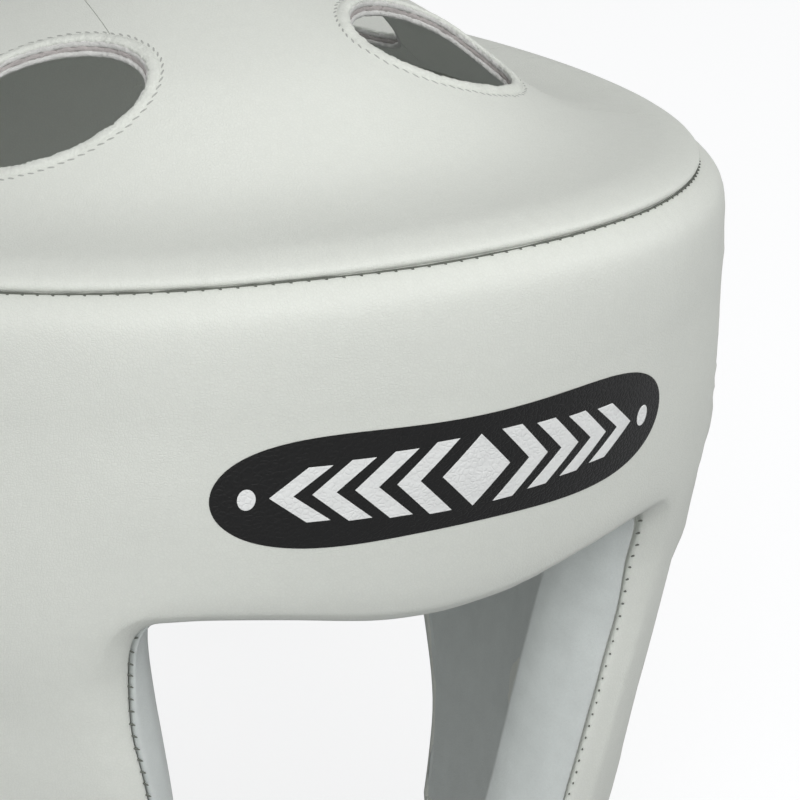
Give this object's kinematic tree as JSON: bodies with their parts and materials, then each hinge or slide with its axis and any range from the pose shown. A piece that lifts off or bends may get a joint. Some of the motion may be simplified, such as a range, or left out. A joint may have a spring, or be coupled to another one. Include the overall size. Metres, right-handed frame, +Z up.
{
  "type": "boxing headgear",
  "caption": "Padded open-face boxing headgear with a wrapped forehead and cheek pad, a domed crown with oval vents, a rear pad, a closure strap and a chin strap.",
  "frame": {"origin": "where the top of the head meets the inside of the crown, at the middle of the crown", "axes": "+Z up, the wearer looks along -Y, +X is the wearer's left"},
  "size_m": [0.2272, 0.268, 0.2743],
  "materials": {
    "leather": "smooth white leather over foam",
    "lining": "pale grey suede",
    "strap": "white leather faced strap",
    "plastic": "black moulded slider"
  },
  "bodies": {
    "root": {"front_pad": "leather", "front_lining": "lining", "crown_panel": "leather", "crown_side_left": "leather", "crown_side_right": "leather", "back_pad": "leather", "back_strap_left": "strap", "back_strap_right": "strap", "chin_strap": "strap", "chin_buckle": "plastic"}
  },
  "joints": []
}
